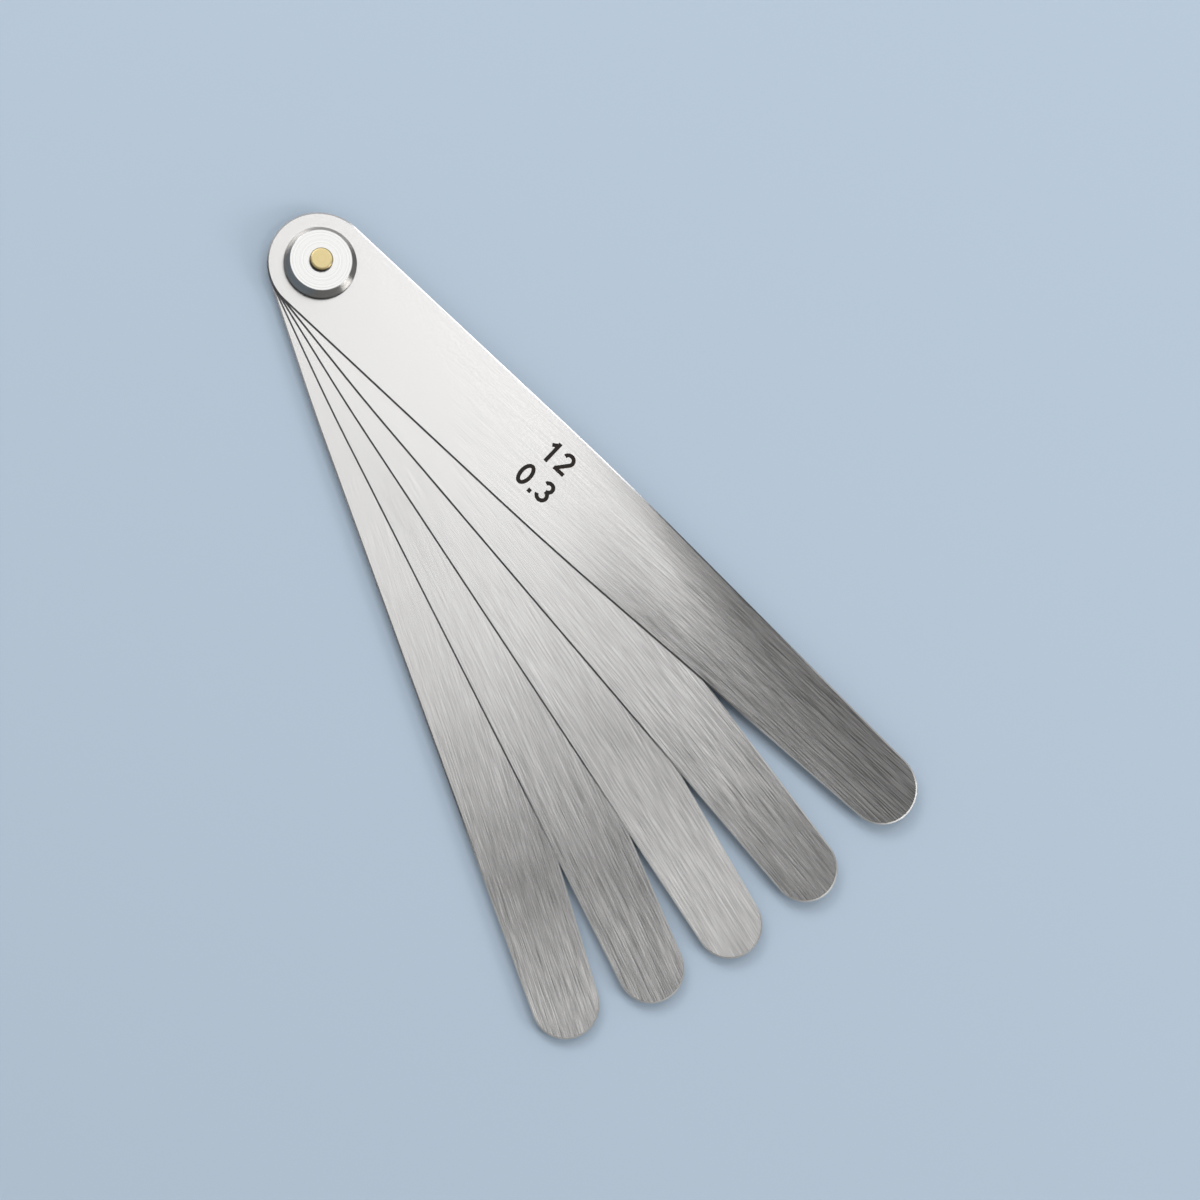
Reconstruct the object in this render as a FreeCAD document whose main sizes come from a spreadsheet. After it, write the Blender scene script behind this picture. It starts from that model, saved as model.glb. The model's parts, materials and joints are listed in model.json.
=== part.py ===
"""Leaf gauge: five tapered spring-steel leaves that fan out on one brass pivot pin.

The gauge lies flat. The origin is on the pivot axis, in the plane that it rests on. +Z runs along
the axis towards the front leaf, and +X along the middle of the front leaf. Lengths are in
millimetres and angles in degrees.
"""
import FreeCAD, Part
import math
import os

import Sketcher

os.makedirs("parts", exist_ok=True)
doc = FreeCAD.newDocument("leaf_gauge")
sheet = doc.addObject("Spreadsheet::Sheet", "sizes")

SIZES = {
    # every leaf
    "leaf_length": 228.6,
    "pivot_end_radius": 14.0,
    "edge_bevel_width": 0.4,
    "edge_bevel_depth": 0.07,
    # the front leaf keeps its width further out, and has a wider tip than the leaves behind it
    "front_parallel_flank": 77.0,
    "front_shoulder_radius": 1000.0,
    "front_tip_radius": 9.9,
    "rear_parallel_flank": 28.0,
    "rear_shoulder_radius": 600.0,
    "rear_tip_radius": 9.0,
    # running fits
    "slide_gap": 0.02,
    "pin_running_gap": 0.05,
    # pivot pin
    "pin_radius": 3.1,
    "pin_stand_out": 1.6,
    "pin_end_round": 0.6,
    "pin_head_spread": 1.3,
    # front collar
    "front_collar_radius": 9.7,
    "front_collar_height": 3.5,
    "front_collar_wall": 1.1,
    "front_bevel_width": 1.45,
    # rear collar
    "rear_collar_radius": 9.75,
    "rear_collar_height": 2.0,
    "rear_collar_wall": 1.0,
    "rear_bevel_width": 0.9,
    # both collars
    "collar_edge_round": 0.15,
    # the leaves' thicknesses
    "leaf_5_thou_thickness": 0.13,
    "leaf_7_thou_thickness": 0.18,
    "leaf_8_thou_thickness": 0.20,
    "leaf_10_thou_thickness": 0.25,
    "leaf_12_thou_thickness": 0.30,
    # how far each leaf is fanned out from the front leaf
    "leaf_5_thou_angle": -29.1,
    "leaf_7_thou_angle": -22.3,
    "leaf_8_thou_angle": -15.6,
    "leaf_10_thou_angle": -8.5,
    "leaf_12_thou_angle": 0.0,
}

# From back to front
LEAVES = ("leaf_5_thou", "leaf_7_thou", "leaf_8_thou", "leaf_10_thou", "leaf_12_thou")
FRONT_LEAF = LEAVES[-1]

for row, (alias, value) in enumerate(SIZES.items(), start=1):
    sheet.set(f"A{row}", alias)
    sheet.set(f"B{row}", str(value))
    sheet.setAlias(f"B{row}", alias)
doc.recompute()

# How a sketch counts the ends and centre of a curve, and its own axes
START, END, CENTRE = range(1, 4)
Y_AXIS, X_AXIS = range(-2, 0)
ORIGIN = (X_AXIS, START)

UP = FreeCAD.Vector(0, 0, 1)
QUARTER = math.pi / 2
CLOSE = 1e-6
NOTHING = "0"


def cell(alias):
    """The expression that reads a named size from the sheet."""
    return f"<<sizes>>.{alias}"


def worth(expression):
    """The value that an expression has now."""
    return float(sheet.evalExpression(expression))


def point(x, y):
    """A point in a sketch."""
    return FreeCAD.Vector(x, y, 0)


def arc(centre, radius, first, last):
    """An arc in a sketch, anticlockwise between two angles in radians."""
    return Part.ArcOfCircle(Part.Circle(centre, UP, radius), first, last)


def new_body(name):
    """An empty body whose label names its file."""
    body = doc.addObject("PartDesign::Body", name)
    body.Label = name
    return body


def new_sketch(body, use, role):
    """A sketch on one of the body's own origin planes."""
    sketch = body.newObject("Sketcher::SketchObject", f"{body.Label}_{use}")
    plane = next(item for item in body.Origin.OriginFeatures if item.Role == role)
    sketch.AttachmentSupport = [(plane, "")]
    sketch.MapMode = "FlatFace"
    return sketch


def hold(sketch, kind, *parts):
    """Add a constraint that has no size."""
    sketch.addConstraint(Sketcher.Constraint(kind, *parts))


def dimension(sketch, name, expression, kind, *parts):
    """Add a named dimension that follows an expression."""
    index = sketch.addConstraint(Sketcher.Constraint(kind, *parts, worth(expression)))
    sketch.renameConstraint(index, name)
    sketch.setExpression(f"Constraints.{name}", expression)


HOLE_SIZE = f"{cell('pin_radius')} + {cell('pin_running_gap')}"


def draw_leaf_blank(sketch, row):
    """The stamped blank: two round ends, flanks that meet them smoothly, and the pin's hole.

    The row is "front" or "rear", and names the sizes of its flanks, shoulders and tip.
    """
    flank_size = cell(f"{row}_parallel_flank")
    shoulder_size = cell(f"{row}_shoulder_radius")
    tip_size = cell(f"{row}_tip_radius")
    pivot_end = worth(cell("pivot_end_radius"))
    flank = worth(flank_size)
    shoulder = worth(shoulder_size)
    tip = worth(tip_size)
    tip_reach = f"{cell('leaf_length')} - {cell('pivot_end_radius')} - {tip_size}"
    tip_x = worth(tip_reach)

    # The tapered flank is the line that touches the shoulder arc and the tip arc
    run = tip_x - flank
    drop = pivot_end - shoulder
    taper = math.asin((shoulder - tip) / math.hypot(run, drop)) + math.atan2(drop, run)
    steep = QUARTER - taper
    shoulder_end = point(flank + shoulder * math.cos(steep), drop + shoulder * math.sin(steep))
    tip_start = point(tip_x + tip * math.cos(steep), tip * math.sin(steep))

    pivot_arc = sketch.addGeometry(arc(point(0, 0), pivot_end, QUARTER, 3 * QUARTER))
    tip_arc = sketch.addGeometry(arc(point(tip_x, 0), tip, -steep, steep))
    parallels = []
    shoulders = []
    for side, near, far in ((1, START, END), (-1, END, START)):
        parallel_from = point(0, side * pivot_end)
        parallel_to = point(flank, side * pivot_end)
        parallel = sketch.addGeometry(Part.LineSegment(parallel_from, parallel_to))
        bend = sorted((side * steep, side * QUARTER))
        blend = sketch.addGeometry(arc(point(flank, side * drop), shoulder, *bend))
        taper_from = point(shoulder_end.x, side * shoulder_end.y)
        taper_to = point(tip_start.x, side * tip_start.y)
        tapered = sketch.addGeometry(Part.LineSegment(taper_from, taper_to))
        hold(sketch, "Tangent", pivot_arc, near, parallel, START)
        hold(sketch, "Tangent", parallel, END, blend, far)
        hold(sketch, "Tangent", blend, near, tapered, START)
        hold(sketch, "Tangent", tapered, END, tip_arc, far)
        hold(sketch, "Horizontal", parallel)
        parallels.append(parallel)
        shoulders.append(blend)

    hold(sketch, "Coincident", pivot_arc, CENTRE, *ORIGIN)
    hold(sketch, "PointOnObject", tip_arc, CENTRE, X_AXIS)
    hold(sketch, "Equal", *parallels)
    hold(sketch, "Equal", *shoulders)
    dimension(sketch, "pivot_end", cell("pivot_end_radius"), "Radius", pivot_arc)
    dimension(sketch, "tip", tip_size, "Radius", tip_arc)
    dimension(sketch, "shoulder", shoulder_size, "Radius", shoulders[0])
    dimension(sketch, "flank", flank_size, "DistanceX", parallels[0], START, parallels[0], END)
    dimension(sketch, "tip_reach", tip_reach, "DistanceX", *ORIGIN, tip_arc, CENTRE)

    hole = sketch.addGeometry(Part.Circle(point(0, 0), UP, worth(HOLE_SIZE)))
    hold(sketch, "Coincident", hole, CENTRE, *ORIGIN)
    dimension(sketch, "hole", HOLE_SIZE, "Radius", hole)


def rim_edges(strip):
    """The edges round a leaf's two flat faces. The hole's circles are closed, and stay sharp."""
    names = []
    for number, edge in enumerate(strip.Edges, start=1):
        if edge.BoundBox.ZLength < CLOSE and not edge.isClosed():
            names.append(f"Edge{number}")
    return names


def leaf_base(place):
    """The height of a leaf's back face: the collar, the leaves below, and a sliding gap under each."""
    below = [cell(f"{name}_thickness") for name in LEAVES[:place]]
    return " + ".join([cell("rear_collar_height"), f"{place + 1} * {cell('slide_gap')}"] + below)


def make_leaf(place, name):
    """One leaf: its blank padded to its thickness, ground to thin edges and turned to its place."""
    body = new_body(name)
    blank = new_sketch(body, "blank", "XY_Plane")
    draw_leaf_blank(blank, "front" if name == FRONT_LEAF else "rear")
    strip = body.newObject("PartDesign::Pad", f"{name}_strip")
    strip.Profile = blank
    strip.setExpression("Length", cell(f"{name}_thickness"))
    doc.recompute()

    edges = body.newObject("PartDesign::Chamfer", f"{name}_edges")
    edges.Base = (strip, rim_edges(strip.Shape))
    edges.ChamferType = "Two distances"
    edges.setExpression("Size", f"min({cell('edge_bevel_depth')}; 0.3 * {cell(f'{name}_thickness')})")
    edges.setExpression("Size2", cell("edge_bevel_width"))

    turn = f"rotation(vector(0; 0; 1); {cell(f'{name}_angle')})"
    body.setExpression("Placement", f"placement(vector(0; 0; {leaf_base(place)}); {turn})")


def ring_edge(shape, radius, height):
    """The round edge of a turned shape at a radius and a height."""
    for number, edge in enumerate(shape.Edges, start=1):
        box = edge.BoundBox
        if box.ZLength < CLOSE and abs(box.ZMin - height) < CLOSE and abs(box.XMax - radius) < CLOSE:
            return f"Edge{number}"
    raise ValueError(f"no round edge of radius {radius} at height {height}")


def turn_body(name, corners, rounds, round_size):
    """A body turned about the pivot axis.

    Its half section runs through the corners, each a radius and a height written as expressions,
    and the corners whose numbers are in rounds are rounded off.
    """
    body = new_body(name)
    section = new_sketch(body, "section", "XZ_Plane")
    places = [point(worth(radius), worth(height)) for radius, height in corners]
    for number, place in enumerate(places):
        section.addGeometry(Part.LineSegment(place, places[(number + 1) % len(places)]))
    for number, (radius, height) in enumerate(corners):
        hold(section, "Coincident", number, END, (number + 1) % len(corners), START)
        if radius == NOTHING:
            hold(section, "PointOnObject", number, START, Y_AXIS)
        else:
            dimension(section, f"radius_{number}", radius, "DistanceX", *ORIGIN, number, START)
        if height == NOTHING:
            hold(section, "PointOnObject", number, START, X_AXIS)
        else:
            dimension(section, f"height_{number}", height, "DistanceY", *ORIGIN, number, START)

    turned = body.newObject("PartDesign::Revolution", f"{name}_turned")
    turned.Profile = section
    turned.ReferenceAxis = (section, ["V_Axis"])
    turned.Angle = 360
    doc.recompute()

    edges = [ring_edge(turned.Shape, places[number].x, places[number].y) for number in rounds]
    rounded = body.newObject("PartDesign::Fillet", f"{name}_rounded")
    rounded.Base = (turned, edges)
    rounded.setExpression("Radius", round_size)
    return body


def make_front_collar():
    """The disc over the front leaf: a short upright wall, a long bevel and a flat face."""
    bore = cell("pin_radius")
    rim = cell("front_collar_radius")
    face = f"{rim} - {cell('front_bevel_width')}"
    top = cell("front_collar_height")
    corners = [
        (bore, NOTHING),
        (rim, NOTHING),
        (rim, cell("front_collar_wall")),
        (face, top),
        (bore, top),
    ]
    body = turn_body("front_collar", corners, (2, 3), cell("collar_edge_round"))
    body.setExpression("Placement.Base.z", leaf_base(len(LEAVES)))


def make_rear_collar():
    """The disc under the rear leaf, bevelled at its back and countersunk there for the pin's head."""
    bore = cell("pin_radius")
    rim = cell("rear_collar_radius")
    face = f"{rim} - {cell('rear_bevel_width')}"
    top = cell("rear_collar_height")
    corners = [
        (f"{bore} + {cell('pin_head_spread')}", NOTHING),
        (face, NOTHING),
        (rim, f"{top} - {cell('rear_collar_wall')}"),
        (rim, top),
        (bore, top),
        (bore, cell("pin_head_spread")),
    ]
    turn_body("rear_collar", corners, (1, 2), cell("collar_edge_round"))


def make_pivot_pin():
    """The pin: a head spread flush into the rear collar, a plain shank and a rounded front end."""
    shank = cell("pin_radius")
    end = f"{leaf_base(len(LEAVES))} + {cell('front_collar_height')} + {cell('pin_stand_out')}"
    corners = [
        (NOTHING, NOTHING),
        (f"{shank} + {cell('pin_head_spread')}", NOTHING),
        (shank, cell("pin_head_spread")),
        (shank, end),
        (NOTHING, end),
    ]
    turn_body("pivot_pin", corners, (3,), cell("pin_end_round"))


make_pivot_pin()
make_rear_collar()
for place, name in enumerate(LEAVES):
    make_leaf(place, name)
make_front_collar()
doc.recompute()

for item in doc.Objects:
    if "Invalid" in item.State or "Error" in item.State:
        raise RuntimeError(f"{item.Label} failed: {item.State}")
for body in doc.findObjects("PartDesign::Body"):
    shape = body.Shape
    if shape.isNull() or not shape.isValid() or len(shape.Solids) != 1:
        raise RuntimeError(f"{body.Label} is not one valid solid")
    shape.exportStep(f"parts/{body.Label}.step")
    box = shape.BoundBox
    print(f"{body.Label}: {shape.Volume:.1f} mm3, from {box.ZMin:.2f} to {box.ZMax:.2f} mm")
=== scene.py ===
# %% [markdown]
# # Dressing a leaf gauge
#
# A leaf gauge is a hand tool for setting a narrow gap on a machine. Five strips of spring steel, each
# rolled to its own thickness, fan out on one pivot pin, and the one that just slides into a gap tells
# its width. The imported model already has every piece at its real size, so nothing is modelled twice
# here. This lesson sets up the camera and the lights, gives each metal its finish, and prints the
# thicknesses on the leaves.

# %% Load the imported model
import json
import math

import bmesh
import bpy
from mathutils import Matrix, Vector, geometry

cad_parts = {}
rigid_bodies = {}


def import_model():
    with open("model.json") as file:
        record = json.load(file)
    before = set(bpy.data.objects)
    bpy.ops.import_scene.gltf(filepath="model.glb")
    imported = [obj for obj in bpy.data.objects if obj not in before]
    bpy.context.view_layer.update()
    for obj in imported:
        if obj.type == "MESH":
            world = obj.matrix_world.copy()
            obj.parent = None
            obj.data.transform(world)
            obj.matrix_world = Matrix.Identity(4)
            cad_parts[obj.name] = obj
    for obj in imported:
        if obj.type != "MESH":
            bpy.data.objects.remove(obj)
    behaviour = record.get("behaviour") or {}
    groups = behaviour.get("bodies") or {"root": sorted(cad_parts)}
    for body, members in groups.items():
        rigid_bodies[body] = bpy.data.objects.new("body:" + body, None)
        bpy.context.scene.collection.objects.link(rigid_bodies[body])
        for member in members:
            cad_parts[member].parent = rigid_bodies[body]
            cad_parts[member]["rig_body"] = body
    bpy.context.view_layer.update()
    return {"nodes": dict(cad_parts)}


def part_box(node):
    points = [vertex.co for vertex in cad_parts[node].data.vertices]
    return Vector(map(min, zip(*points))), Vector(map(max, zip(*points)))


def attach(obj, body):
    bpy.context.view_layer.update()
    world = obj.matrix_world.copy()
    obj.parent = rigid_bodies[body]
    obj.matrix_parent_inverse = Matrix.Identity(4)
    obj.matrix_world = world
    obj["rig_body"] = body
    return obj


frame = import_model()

leaf_names = [name for name in frame["nodes"] if name.startswith("leaf")]
leaf_names.sort(key=lambda name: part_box(name)[1].z)
print("leaves from back to front:", leaf_names)

# %% [markdown]
# ## Units and colours
#
# Blender works in metres, and a gauge is easier to think of in millimetres. Colours are picked as sRGB
# hex values, as a paint chart gives them, but light adds up in linear values, so one function turns
# the first into the second.

# %% Millimetres and linear colours
MM = 0.001


def colour(hex_value):
    """A linear colour with full opacity, from an sRGB value such as '#C8C6C4'."""
    channels = [int(hex_value[place:place + 2], 16) / 255 for place in (1, 3, 5)]
    linear = [c / 12.92 if c <= 0.04045 else ((c + 0.055) / 1.055) ** 2.4 for c in channels]
    return (*linear, 1.0)


print("mid grey #808080 is", round(colour("#808080")[0], 3), "in linear light")

# %% [markdown]
# ## Camera
#
# A product shot of a flat tool is taken with a long lens, so that the far leaves don't look smaller
# than the near ones. This one is an 85 mm lens on a full-frame sensor, three quarters of a metre away,
# almost square on to the leaves. The picture is turned so that the front leaf runs down to the right,
# which is set by naming the direction that is up in the picture.

# %% Place the camera
CAMERA_PLACE = Vector((92.55, -189.9, 734.2)) * MM
CAMERA_TARGET = Vector((115.2, -15.1, 3.2)) * MM
PICTURE_UP = Vector((-0.6816, 0.7162, 0.15))
LENS_IN_MM = 85
SENSOR_IN_MM = 36

camera = bpy.data.objects.new("camera", bpy.data.cameras.new("camera"))
camera.data.lens = LENS_IN_MM
camera.data.sensor_width = SENSOR_IN_MM
bpy.context.scene.collection.objects.link(camera)
bpy.context.scene.camera = camera


def aim(thing, place, target, up):
    """Put a camera or lamp at a place, looking at the target, with a direction that is up for it."""
    back = (place - target).normalized()
    right = up.cross(back).normalized()
    turned = Matrix((right, back.cross(right), back)).transposed()
    thing.matrix_world = Matrix.Translation(place) @ turned.to_4x4()


aim(camera, CAMERA_PLACE, CAMERA_TARGET, PICTURE_UP)
print("camera is", round((CAMERA_PLACE - CAMERA_TARGET).length / MM), "mm from the middle of the gauge")

# %% [markdown]
# ## Floor
#
# The gauge lies on its rear collar on a sheet of pale studio paper. One flat face is enough for it, and
# it is wide enough that no view shows its end.

# %% Lay the paper
FLOOR_SIDE = 12.0

corners = [(x * FLOOR_SIDE / 2, y * FLOOR_SIDE / 2, 0) for x, y in ((-1, -1), (1, -1), (1, 1), (-1, 1))]
sheet_mesh = bpy.data.meshes.new("studio_paper")
sheet_mesh.from_pydata(corners, [], [(0, 1, 2, 3)])
paper = bpy.data.objects.new("studio_paper", sheet_mesh)
bpy.context.scene.collection.objects.link(paper)
print("paper is", FLOOR_SIDE, "m square")

# %% [markdown]
# ## Paper, and materials as nodes
#
# Uncoated paper scatters light evenly and hardly shines, so it looks alike from everywhere and takes a
# soft shadow. A rough surface with almost no gloss gives that.
#
# A finish is a small network of nodes that ends in one shader. Building one in code takes a new material,
# a function that adds a node with its settings, and one that gives an input its value. That value is a
# number, a colour or another node's output, and the code reads the same for all three.

# %% Finish the paper
def new_material(name):
    """An empty node material with its output node, and a Principled shader that feeds it."""
    material = bpy.data.materials.new(name)
    material.use_nodes = True
    material.node_tree.nodes.clear()
    shader = add(material, "ShaderNodeBsdfPrincipled")
    add(material, "ShaderNodeOutputMaterial", {"Surface": shader.outputs["BSDF"]})
    return material, shader


def add(material, kind, inputs=None, **settings):
    """Add a node with its settings. Each input gets a value, or a link if it is another node's output."""
    node = material.node_tree.nodes.new(kind)
    for name, value in settings.items():
        setattr(node, name, value)
    for name, value in (inputs or {}).items():
        feed(material, node.inputs[name], value)
    return node


def feed(material, socket, value):
    """Give one input a value, or link another node's output to it."""
    if isinstance(value, bpy.types.NodeSocket):
        material.node_tree.links.new(value, socket)
    else:
        socket.default_value = value


studio_paper, shader = new_material("studio_paper")
feed(studio_paper, shader.inputs["Base Color"], colour("#B4C4D4"))
feed(studio_paper, shader.inputs["Roughness"], 0.9)
feed(studio_paper, shader.inputs["Specular IOR Level"], 0.1)
paper.data.materials.append(studio_paper)
print("paper is finished in", studio_paper.name)

# %% [markdown]
# ## Light
#
# Bright metal shows its surroundings, so lighting it means placing what it mirrors. A wide white panel
# hangs flat over the pivot. The leaves mirror it near the pivot, where they look almost white, and see
# past its edge towards their tips, where they mirror the darker ceiling. The panel is turned to the
# middle of the fan, so that all five darken at about the same distance from the pivot. The walls are
# paler than the ceiling, because flat steel mirrors them in any view from the side. Two narrow strips put
# a bright line on the ground edges, one near the pivot and one at the tips, and softboxes left and right
# put the bright streaks on the collar's bevel.

# %% Light the room
WALL_LIGHT = 0.7
CEILING_LIGHT = 0.175
# The walls end and the ceiling begins at these heights, each the sine of the angle above the floor
WALL_TOP = 0.6
CEILING_EDGE = 0.85

room = bpy.data.worlds.new("room")
room.use_nodes = True
way = add(room, "ShaderNodeTexCoord")
rise = add(room, "ShaderNodeSeparateXYZ", {"Vector": way.outputs["Generated"]})
glow = add(room, "ShaderNodeMapRange", {"Value": rise.outputs["Z"], "From Min": WALL_TOP,
                                        "From Max": CEILING_EDGE, "To Min": WALL_LIGHT,
                                        "To Max": CEILING_LIGHT})
feed(room, room.node_tree.nodes["Background"].inputs["Color"], (1, 1, 1, 1))
feed(room, room.node_tree.nodes["Background"].inputs["Strength"], glow.outputs["Result"])
bpy.context.scene.world = room
bpy.context.scene.view_settings.view_transform = "Standard"
print("the ceiling begins at", round(math.degrees(math.asin(CEILING_EDGE))), "degrees up")

# %% Make lamps
FAN_MIDDLE = math.radians(-4)
FAN_WAY = Vector((math.cos(FAN_MIDDLE), math.sin(FAN_MIDDLE), 0))
FAN_SIDE = Vector((-math.sin(FAN_MIDDLE), math.cos(FAN_MIDDLE), 0))
UP = Vector((0, 0, 1))
MIDDLE = Vector((100, -25, 3)) * MM


def lamp(name, place, target, up, width, height, brightness):
    """A rectangular lamp. Its brightness is what its face would read, with 1 as white."""
    light = bpy.data.lights.new(name, "AREA")
    light.shape = "RECTANGLE"
    light.size = width
    light.size_y = height
    light.energy = brightness * width * height * math.pi
    thing = bpy.data.objects.new(name, light)
    thing.visible_camera = False
    bpy.context.scene.collection.objects.link(thing)
    aim(thing, place, target, up)


def ceiling_panel(name, along, aside, height, brightness):
    """A lamp that faces straight down, between two distances from the pivot along the fan and across it."""
    place = FAN_WAY * sum(along) / 2 + FAN_SIDE * sum(aside) / 2 + UP * height
    lamp(name, place, place - UP, FAN_SIDE, along[1] - along[0], aside[1] - aside[0], brightness)


def softbox(name, azimuth, elevation, distance, width, height, brightness):
    """A lamp that faces the gauge from an azimuth, anticlockwise from the front leaf, and an elevation."""
    turn, rise = math.radians(azimuth), math.radians(elevation)
    way = Vector((math.cos(turn) * math.cos(rise), math.sin(turn) * math.cos(rise), math.sin(rise)))
    lamp(name, MIDDLE + way * distance, MIDDLE, UP, width, height, brightness)


print("softboxes face the point", [round(length / MM) for length in MIDDLE], "in mm")

# %% Hang the lamps
# Millimetres along the fan, across it and above the floor, and brightness
CEILING_LAMPS = {
    "pivot_panel": ((-1500, 160), (30, 1500), 1500, 1.28),
    "edge_strip": ((-350, 150), (960, 1120), 1480, 7.0),
    "tip_strip": ((880, 1100), (150, 920), 1500, 6.0),
}
# Azimuth and elevation in degrees, distance, width and height in metres, and brightness
SOFTBOXES = {
    "left_softbox": (165, 36, 1.6, 1.0, 0.45, 5.2),
    "right_softbox": (20, 23, 1.6, 0.6, 0.35, 10.5),
}
for name, (along, aside, height, brightness) in CEILING_LAMPS.items():
    ceiling_panel(name, [MM * end for end in along], [MM * end for end in aside], MM * height, brightness)
for name, row in SOFTBOXES.items():
    softbox(name, *row)

# %% [markdown]
# ## Brushed spring steel
#
# The leaves are cold-rolled carbon spring steel, brushed lengthwise and left bare. Brushing cuts fine
# parallel scratches, so a reflection stays sharp along the leaf and smears out across it. That is
# what the shader's anisotropy does, once it knows which way the grain runs.

# %% Find how each leaf lies
def leaf_angle(name):
    """The direction of a leaf's centre line in the floor plane, in radians, from its own outline."""
    total = sum((vertex.co for vertex in frame["nodes"][name].data.vertices), Vector())
    return math.atan2(total.y, total.x)


for name in leaf_names:
    print(name, "lies at", round(math.degrees(leaf_angle(name)), 1), "degrees")

# %% [markdown]
# ### How the strip is sprung
#
# Thin rolled strip is never quite flat, and a mirror doubles every lean, so real leaves darken at
# different places. The solids here are flat, and the lean goes into the shading normal only. Its amounts,
# up to 5.2 degrees at the tips, were set by matching the photo's brightness. They stand in for the bend
# of the strips and for whatever else the studio's light did there. Each bend below is where it starts and
# ends, in millimetres from the pivot, and how much lean it adds, in degrees towards the tip. A strip that
# was coiled askew bends earlier on one side: the last number says how many millimetres earlier for each
# millimetre across.

# %% List each leaf's bends and brushing
BENDS = {
    "leaf_12_thou": ((70, 100, 0.5, 1.4), (105, 130, -0.6, 1.4), (135, 255, 3.4, 6), (150, 215, -2.0, 0)),
    "leaf_10_thou": ((85, 205, -2.95, 0), (190, 215, -0.5, 0)),
    "leaf_8_thou": ((50, 95, -0.6, 0), (95, 130, -0.6, 0), (135, 215, -4.0, 0)),
    "leaf_7_thou": ((60, 100, -1.2, 0), (130, 180, -0.7, 0), (170, 215, -2.4, 0)),
    "leaf_5_thou": ((30, 90, -1.4, 0), (165, 215, -3.5, 0)),
}
# Where the brushing starts to bite, where it is deepest, and how deep, with 1 for a usual brush
BRUSHING = {
    "leaf_12_thou": (100, 175, 1.85),
    "leaf_10_thou": (100, 200, 1.25),
    "leaf_8_thou": (88, 160, 0.42),
    "leaf_7_thou": (100, 200, 1.05),
    "leaf_5_thou": (95, 200, 0.95),
}
# Faint brushing everywhere, from none at the first distance to all of it at the second
LIGHT_BRUSHING = 0.24
LIGHT_START = 20 * MM
LIGHT_END = 110 * MM
# The strip is also a little uneven, in patches of this length and width
UNEVEN = math.radians(0.35)
PATCH_LENGTH = 45 * MM
PATCH_WIDTH = 9 * MM
PATCH_SEED = 23
print("bends added up, in degrees:", {name: sum(bend[2] for bend in bends) for name, bends in BENDS.items()})


def output(material, kind, inputs=None, name=0, **settings):
    """Add a node and give its output, so that it can go straight into the next node's input."""
    return add(material, kind, inputs, **settings).outputs[name]


def world_way(material, way):
    """A direction of the piece itself, turned with it into the direction in the room."""
    return output(material, "ShaderNodeVectorTransform", {"Vector": way}, vector_type="VECTOR",
                  convert_from="OBJECT", convert_to="WORLD")


def streaks(material, place, length, width, seed):
    """Noise drawn out along the grain, with streaks of a real length and width."""
    stretched = output(material, "ShaderNodeVectorMath", {0: place, 1: (1 / length, 1 / width, 1 / width)},
                       operation="MULTIPLY")
    moved = output(material, "ShaderNodeVectorMath", {0: stretched, 1: (seed, seed, seed)}, operation="ADD")
    return output(material, "ShaderNodeTexNoise", {"Vector": moved, "Scale": 1.0, "Detail": 1.0}, "Fac")


def sprung_normal(material, along, grain_way, bends, seed):
    """The surface normal, leaned along the leaf by its bends and a slow unevenness."""
    patch = streaks(material, along, PATCH_LENGTH, PATCH_WIDTH, seed)
    lean = output(material, "ShaderNodeMapRange", {"Value": patch, "To Min": -UNEVEN, "To Max": UNEVEN})
    for start, end, degrees, skew in bends:
        askew = output(material, "ShaderNodeVectorMath", {0: along, 1: (1, skew, 0)}, "Value",
                       operation="DOT_PRODUCT")
        bend = output(material, "ShaderNodeMapRange", {"Value": askew, "From Min": start * MM,
                                                       "From Max": end * MM, "To Max": math.radians(degrees)},
                      interpolation_type="SMOOTHSTEP")
        lean = output(material, "ShaderNodeMath", {0: bend, 1: lean}, operation="ADD")
    push = output(material, "ShaderNodeVectorMath", {0: world_way(material, grain_way), "Scale": lean},
                  operation="SCALE")
    normal = output(material, "ShaderNodeNewGeometry", name="Normal")
    leaned = output(material, "ShaderNodeVectorMath", {0: normal, 1: push}, operation="ADD")
    return output(material, "ShaderNodeVectorMath", {0: leaned}, operation="NORMALIZE")


# %% [markdown]
# ### Brushed lines and ground edges
#
# Steel has a grey of its own and shows what it mirrors, times that grey. The brushed lines change the
# colour and the roughness and, where the brush bites, the height as well. They are faint near the pivot
# and deeper towards the tips, by a different depth on each leaf. Real ones are some hundredths of a
# millimetre wide, too fine for the picture, so these are drawn wider, and a slow wander keeps them from
# looking ruled. The tangent runs across the grain, which is the way a reflection smears, and it turns
# with the leaf.
#
# The edges are ground to a fine bevel, smoother than the brushed face. Its colour is painted shade,
# darker than the face, which draws the dark lines where the leaves overlap. Towards the working end the
# colour turns light, a painted highlight along the rim, and the bevel turns dull. Everything but the flat
# faces leans away from upright, so the material finds the bevel by its slope.

# %% Make the leaves' finish
STEEL = "#CFCECD"
# The bevel's colours. The first is painted shade for the dark lines where the leaves overlap. The second,
# towards the tips, is a painted highlight along the rim, and it is reached between the two distances below
PAINTED_SHADE_EDGE = "#8E8E90"
PAINTED_HIGHLIGHT_EDGE = "#DCDCDA"
GROUND_ROUGHNESS = 0.14
TIP_EDGE_ROUGHNESS = 0.4
TIP_EDGE_START = 150 * MM
TIP_EDGE_END = 172 * MM
LEVEL = 0.999
# Length and width of the short and the long lines, and how they wander
SHORT_LINE = (7 * MM, 0.24 * MM)
LONG_LINE = (14 * MM, 0.36 * MM)
LONG_SEED = 7
WANDER_LENGTH = 30 * MM
WANDER = 0.3 * MM
# The lines' colour as shares of the steel's, and the depths at which it is reached
DARK_LINE = 0.52
BRIGHT_LINE = 1.48
TONE_DEPTH = 0.45
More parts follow.
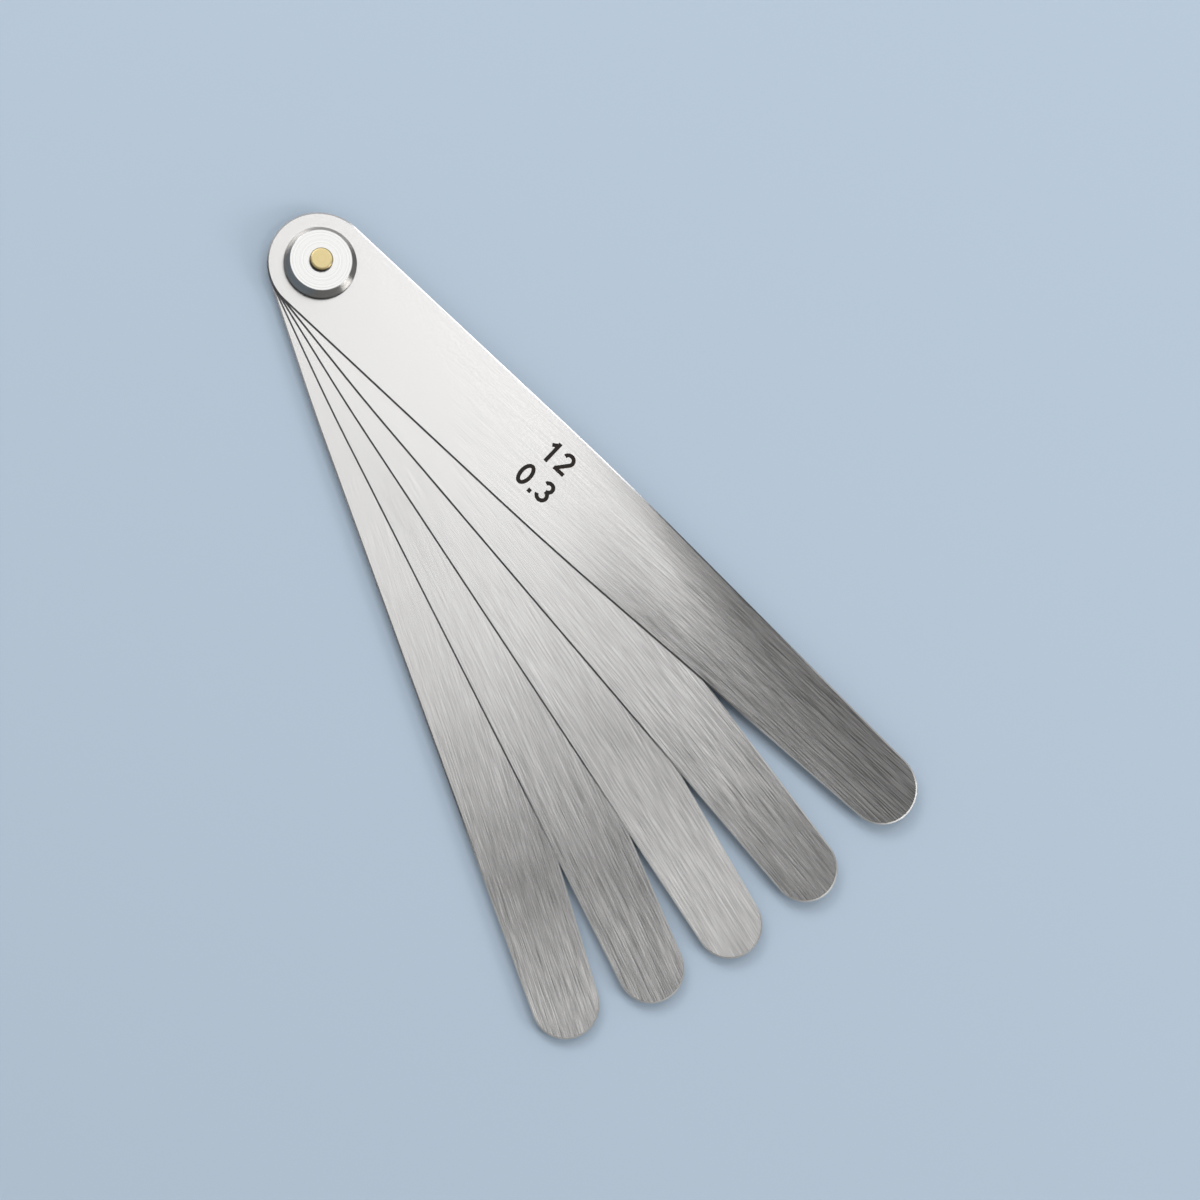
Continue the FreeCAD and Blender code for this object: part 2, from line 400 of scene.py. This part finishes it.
# The lines' roughness, and the depths at which it is reached
DARK_ROUGHNESS = 0.28
BRIGHT_ROUGHNESS = 0.24
ROUGH_DEPTH = 0.3
GRAIN_SMEAR = 0.81
SCRATCH_HEIGHT = 0.001 * MM
LEAF_SEED = 11.0


def shaded(hex_value, share):
    """The linear colour of a hex value, made lighter or darker by a share."""
    return (*(share * channel for channel in colour(hex_value)[:3]), 1)


def brushed_spring_steel(name, angle, bends, brushing, seed):
    """Brushed steel whose grain runs at an angle in the floor plane."""
    material, shader = new_material(name)
    place = output(material, "ShaderNodeTexCoord", name="Object")
    along = output(material, "ShaderNodeVectorRotate", {"Vector": place, "Angle": -angle},
                   rotation_type="Z_AXIS")
    grain_way = (math.cos(angle), math.sin(angle), 0)
    smear_way = (-math.sin(angle), math.cos(angle), 0)
    distance = output(material, "ShaderNodeSeparateXYZ", {"Vector": along}, "X")

    wander = output(material, "ShaderNodeTexNoise", {"Vector": along, "Scale": 1 / WANDER_LENGTH,
                                                     "Detail": 0.0}, "Color")
    shift = output(material, "ShaderNodeVectorMath", {0: wander, 1: (0, WANDER, 0)}, operation="MULTIPLY")
    wavy = output(material, "ShaderNodeVectorMath", {0: along, 1: shift}, operation="ADD")

    short = streaks(material, wavy, *SHORT_LINE, seed)
    long = streaks(material, wavy, *LONG_LINE, seed + LONG_SEED)
    lines = output(material, "ShaderNodeMath", {0: short, 1: long}, operation="ADD")
    centred = output(material, "ShaderNodeMath", {0: lines, 1: 1.0}, operation="SUBTRACT")
    start, end, deepest = brushing
    light = output(material, "ShaderNodeMapRange", {"Value": distance, "From Min": LIGHT_START,
                                                    "From Max": LIGHT_END, "To Max": LIGHT_BRUSHING})
    bite = output(material, "ShaderNodeMapRange", {"Value": distance, "From Min": start * MM,
                                                   "From Max": end * MM, "To Max": deepest},
                  interpolation_type="SMOOTHSTEP")
    together = output(material, "ShaderNodeMath", {0: light, 1: bite}, operation="ADD")
    depth = output(material, "ShaderNodeMath", {0: centred, 1: together}, operation="MULTIPLY")
    tone = output(material, "ShaderNodeMapRange", {"Value": depth, "From Min": -TONE_DEPTH,
                                                   "From Max": TONE_DEPTH})
    brushed = output(material, "ShaderNodeMix", {"Factor": tone, 6: shaded(STEEL, DARK_LINE),
                                                 7: shaded(STEEL, BRIGHT_LINE)}, 2, data_type="RGBA")

    # The ground bevel is the part whose face leans away from upright
    facing = output(material, "ShaderNodeNewGeometry", name="True Normal")
    rise = output(material, "ShaderNodeSeparateXYZ", {"Vector": facing}, "Z")
    upright = output(material, "ShaderNodeMath", {0: rise}, operation="ABSOLUTE")
    flat = output(material, "ShaderNodeMath", {0: upright, 1: LEVEL}, operation="GREATER_THAN")
    # Towards the tips the bevel's painted shade gives way to its painted highlight
    toward_tips = output(material, "ShaderNodeMapRange", {"Value": distance, "From Min": TIP_EDGE_START,
                                                   "From Max": TIP_EDGE_END})
    edge = output(material, "ShaderNodeMix", {"Factor": toward_tips, 6: colour(PAINTED_SHADE_EDGE),
                                              7: colour(PAINTED_HIGHLIGHT_EDGE)}, 2, data_type="RGBA")
    base = output(material, "ShaderNodeMix", {"Factor": flat, 6: edge, 7: brushed}, 2, data_type="RGBA")
    feed(material, shader.inputs["Base Color"], base)

    brushed_rough = output(material, "ShaderNodeMapRange", {"Value": depth, "From Min": -ROUGH_DEPTH,
                                                            "From Max": ROUGH_DEPTH,
                                                            "To Min": DARK_ROUGHNESS,
                                                            "To Max": BRIGHT_ROUGHNESS})
    edge_rough = output(material, "ShaderNodeMix", {"Factor": toward_tips, 2: GROUND_ROUGHNESS, 3: TIP_EDGE_ROUGHNESS},
                        data_type="FLOAT")
    rough = output(material, "ShaderNodeMix", {"Factor": flat, 2: edge_rough, 3: brushed_rough},
                   data_type="FLOAT")
    feed(material, shader.inputs["Roughness"], rough)
    feed(material, shader.inputs["Metallic"], 1.0)
    feed(material, shader.inputs["Anisotropic"], GRAIN_SMEAR)
    feed(material, shader.inputs["Tangent"], world_way(material, smear_way))

    height = output(material, "ShaderNodeMath", {0: lines, 1: flat}, operation="MULTIPLY")
    sprung = sprung_normal(material, along, grain_way, bends, seed + PATCH_SEED)
    bump = output(material, "ShaderNodeBump", {"Height": height, "Strength": bite,
                                               "Distance": SCRATCH_HEIGHT, "Normal": sprung})
    feed(material, shader.inputs["Normal"], bump)
    return material


for number, name in enumerate(leaf_names):
    finish = f"brushed_spring_steel_{name}"
    seed = LEAF_SEED * number
    steel = brushed_spring_steel(finish, leaf_angle(name), BENDS[name], BRUSHING[name], seed)
    frame["nodes"][name].material_slots[0].material = steel
    print(name, "is finished in", steel.name)

# %% [markdown]
# ## Turned collars and brass pin
#
# The collars are mild steel turned on a lathe and polished, and the pin is brass rod, faced and rounded.
# Turning leaves fine rings round the axis. Here they are noise that reads only the distance from the axis
# and the height, so it closes on itself and needs no unwrapping, and they are drawn coarser than real so
# that they show. The bevel and the wall under it get darker colours than the polished face. These are
# painted shade, which follows the slope.
#
# A round wall is a row of narrow flats in the mesh, and polished metal would show each of them. The
# shading normal is therefore turned straight out from the axis.

# %% Make the turned finishes
LATHE_LINES = 0.35 * MM
LATHE_HEIGHT = 0.0015 * MM
# Noise keeps near its middle, so this range of it is stretched over a whole line
NOISE_LOW = 0.3
NOISE_HIGH = 0.7
FAINTEST_LINE = 0.93
ROUGHER = 1.2
SMOOTHER = 0.8
# How upright a face stands for each of the three colours, with 0 for a wall and 1 for a level face. The
# wall and bevel colours are painted shade
WALL_STOP = 0.1
BEVEL_STOP = 0.45
FACE_STOP = 0.95


def lathe_normal(material, across):
    """The surface normal turned straight out from the axis, so that a round wall has no flats on it."""
    out = output(material, "ShaderNodeVectorMath", {0: across}, operation="NORMALIZE")
    outward = world_way(material, out)
    normal = output(material, "ShaderNodeNewGeometry", name="Normal")
    lean = output(material, "ShaderNodeVectorMath", {0: normal, 1: outward}, "Value", operation="DOT_PRODUCT")
    rise = output(material, "ShaderNodeSeparateXYZ", {"Vector": normal}, "Z")
    level = output(material, "ShaderNodeVectorMath", {0: outward, "Scale": lean}, operation="SCALE")
    upward = output(material, "ShaderNodeCombineXYZ", {"Z": rise})
    both = output(material, "ShaderNodeVectorMath", {0: level, 1: upward}, operation="ADD")
    return output(material, "ShaderNodeVectorMath", {0: both}, operation="NORMALIZE")


def turned_metal(name, face_hex, bevel_shade_hex, wall_shade_hex, roughness):
    """A lathe-turned metal: polished on its face, with painted shade on its bevel and on the wall below it.
    """
    material, shader = new_material(name)
    place = output(material, "ShaderNodeTexCoord", name="Object")
    parts = add(material, "ShaderNodeSeparateXYZ", {"Vector": place})
    across = output(material, "ShaderNodeCombineXYZ", {"X": parts.outputs["X"], "Y": parts.outputs["Y"]})
    radius = output(material, "ShaderNodeVectorMath", {0: across}, "Value", operation="LENGTH")
    ring = output(material, "ShaderNodeCombineXYZ", {"X": radius, "Y": parts.outputs["Z"]})
    lines = output(material, "ShaderNodeTexNoise", {"Vector": ring, "Scale": 1 / LATHE_LINES,
                                                    "Detail": 2.0}, "Fac")

    facing = output(material, "ShaderNodeNewGeometry", name="True Normal")
    rise = output(material, "ShaderNodeSeparateXYZ", {"Vector": facing}, "Z")
    upright = output(material, "ShaderNodeMath", {0: rise}, operation="ABSOLUTE")
    slope = add(material, "ShaderNodeValToRGB", {"Fac": upright})
    stops = slope.color_ramp.elements
    stops[0].position, stops[0].color = WALL_STOP, colour(wall_shade_hex)
    stops[1].position, stops[1].color = FACE_STOP, colour(face_hex)
    stops.new(BEVEL_STOP).color = colour(bevel_shade_hex)
    tone = output(material, "ShaderNodeMapRange", {"Value": lines, "From Min": NOISE_LOW,
                                                   "From Max": NOISE_HIGH, "To Min": FAINTEST_LINE,
                                                   "To Max": 1.0})
    base = output(material, "ShaderNodeVectorMath", {0: slope.outputs["Color"], "Scale": tone},
                  operation="SCALE")
    feed(material, shader.inputs["Base Color"], base)
    feed(material, shader.inputs["Metallic"], 1.0)
    rough = output(material, "ShaderNodeMapRange", {"Value": lines, "From Min": NOISE_LOW,
                                                    "From Max": NOISE_HIGH,
                                                    "To Min": roughness * ROUGHER,
                                                    "To Max": roughness * SMOOTHER})
    feed(material, shader.inputs["Roughness"], rough)
    bump = output(material, "ShaderNodeBump", {"Height": lines, "Strength": 1.0,
                                               "Distance": LATHE_HEIGHT,
                                               "Normal": lathe_normal(material, across)})
    feed(material, shader.inputs["Normal"], bump)
    return material


# The bevel and wall colours of both are painted shade, darkest on the wall of the brass pin
turned_steel = turned_metal("turned_mild_steel", "#D4D4D3", "#72706D", "#4A4A4C", 0.22)
turned_brass = turned_metal("faced_brass_rod", "#CFBE8E", "#6A5328", "#1E170C", 0.36)
for name in ("front_collar", "rear_collar"):
    frame["nodes"][name].material_slots[0].material = turned_steel
frame["nodes"]["pivot_pin"].material_slots[0].material = turned_brass
print("finishes so far:", len(bpy.data.materials))

# %% [markdown]
# ## Printed numbers
#
# Each leaf is marked with its thickness, in thousandths of an inch and below that in millimetres. The
# numbers are printed in black ink, which is a real layer on the metal, so they are made as thin solids
# and not painted into the steel's material. The ink stands a hair proud of the leaf and sinks a little
# into it, so that no gap shows. Each digit is drawn as a person would write it, with a flat pen along a
# few lines and ovals, and the strokes are then merged into one outline.

# %% Describe the digits' strokes
# The pen's width and all places are shares of the digit's height. A stroke along NEAR touches the foot
# of the digit, and one along FAR touches its top
PEN = 0.17
NEAR = PEN / 2
FAR = 1 - PEN / 2


def oval(across, up, half_width, half_height, first=0, last=360, steps=32):
    """Points on an oval between two angles in degrees. Sizes are shares of the digit's height."""
    turns = [math.radians(first + (last - first) * step / steps) for step in range(steps + 1)]
    return [(across + half_width * math.cos(turn), up + half_height * math.sin(turn)) for turn in turns]


DIGITS = {
    "0": [oval(0.31, 0.5, 0.22, FAR - 0.5)],
    "1": [[(0.34, 0), (0.34, 1)], [(0.34, FAR - 0.03), (0.10, 0.72)]],
    "2": [oval(0.31, 0.70, 0.22, FAR - 0.70, 170, -38) + [(0.12, NEAR + 0.02)], [(0.04, NEAR), (0.58, NEAR)]],
    "3": [oval(0.30, 0.72, 0.20, FAR - 0.72, 160, -90), oval(0.30, 0.30, 0.22, 0.30 - NEAR, 90, -165)],
    "5": [[(0.56, FAR), (0.14, FAR)], [(0.17, FAR), (0.11, 0.47)],
          oval(0.30, 0.31, 0.22, 0.31 - NEAR, 140, -165)],
    "7": [[(0.05, FAR), (0.58, FAR)], [(0.53, FAR), (0.34, 0.45), (0.27, 0)]],
    "8": [oval(0.31, 0.73, 0.19, FAR - 0.73), oval(0.31, 0.30, 0.22, 0.30 - NEAR)],
    ".": [[(0.15, 0), (0.15, 0.18)]],
}
# How far the pen moves on after each character
STEP = {character: 0.72 for character in "0123578"} | {".": 0.36}
print("digits:", " ".join(DIGITS))

# %% Turn strokes into a solid
MERGE_DISTANCE = 1e-5


def pen_quads(stroke):
    """The stroke as a row of four-sided patches, half a pen to each side of its line."""
    sides = []
    for number, (x, y) in enumerate(stroke):
        before = Vector(stroke[max(number - 1, 0)])
        after = Vector(stroke[min(number + 1, len(stroke) - 1)])
        if stroke[0] == stroke[-1] and number in (0, len(stroke) - 1):
            before, after = Vector(stroke[-2]), Vector(stroke[1])
        way = (after - before).normalized() * PEN / 2
        sides.append((Vector((x - way.y, y + way.x)), Vector((x + way.y, y - way.x))))
    return [(sides[n][0], sides[n][1], sides[n + 1][1], sides[n + 1][0]) for n in range(len(sides) - 1)]


def printed_number(name, text, height, thickness):
    """A number as a thin closed solid, centred on the origin with its top at zero height."""
    corners, patches = [], []
    pen_at = 0.0
    for character in text:
        for stroke in DIGITS[character]:
            for quad in pen_quads(stroke):
                patches.append(list(range(len(corners), len(corners) + 4)))
                corners += [corner + Vector((pen_at, 0)) for corner in quad]
        pen_at += STEP[character]
    merged = geometry.delaunay_2d_cdt(corners, [], patches, 1, MERGE_DISTANCE)
    points, triangles, covered_by = merged[0], merged[2], merged[5]
    middle = Vector((pen_at / 2, 0.5))
    mesh = bpy.data.meshes.new(name)
    flat = [((point - middle) * height).to_3d() for point in points]
    mesh.from_pydata(flat, [], [face for face, owners in zip(triangles, covered_by) if owners])
    solid = bmesh.new()
    solid.from_mesh(mesh)
    bmesh.ops.delete(solid, geom=[vertex for vertex in solid.verts if not vertex.link_faces], context="VERTS")
    extruded = bmesh.ops.extrude_face_region(solid, geom=solid.faces[:])["geom"]
    lower = [part for part in extruded if isinstance(part, bmesh.types.BMVert)]
    bmesh.ops.translate(solid, verts=lower, vec=(0, 0, -thickness))
    bmesh.ops.recalc_face_normals(solid, faces=solid.faces[:])
    print(name, "faces:", len(solid.faces), "closed:", all(len(edge.link_faces) == 2 for edge in solid.edges))
    solid.to_mesh(mesh)
    solid.free()
    number = bpy.data.objects.new(name, mesh)
    bpy.context.scene.collection.objects.link(number)
    return number


# %% Print the numbers on the leaves
DIGIT_HEIGHT = 6.5 * MM
INK_THICKNESS = 0.012 * MM
INK_SINK = 0.002 * MM
# Distance from the pivot in millimetres, and the two lines of text. The photo shows only the front
# leaf's, so the numbers on the other four and their place are guesses
MARKS = {
    "leaf_12_thou": (81.8, "12", "0.3"),
    "leaf_10_thou": (38, "10", "0.25"),
    "leaf_8_thou": (38, "8", "0.2"),
    "leaf_7_thou": (38, "7", "0.18"),
    "leaf_5_thou": (38, "5", "0.13"),
}
# How far each line is to the side of the leaf's middle, in millimetres
LINE_HEIGHTS = (5.7, -3.7)

ink, shader = new_material("black_marking_ink")
feed(ink, shader.inputs["Base Color"], colour("#241F1C"))
feed(ink, shader.inputs["Roughness"], 0.6)
feed(ink, shader.inputs["Specular IOR Level"], 0.2)

for leaf, (distance, *texts) in MARKS.items():
    turn = Matrix.Rotation(leaf_angle(leaf), 4, "Z")
    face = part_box(leaf)[1].z
    for text, aside in zip(texts, LINE_HEIGHTS):
        number = printed_number(f"number_{text}", text, DIGIT_HEIGHT, INK_THICKNESS + INK_SINK)
        place = turn @ Vector((distance * MM, aside * MM, 0)) + Vector((0, 0, face + INK_THICKNESS))
        number.data.transform(Matrix.Translation(place) @ turn)
        number.data.materials.append(ink)
        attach(number, frame["nodes"][leaf]["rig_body"])
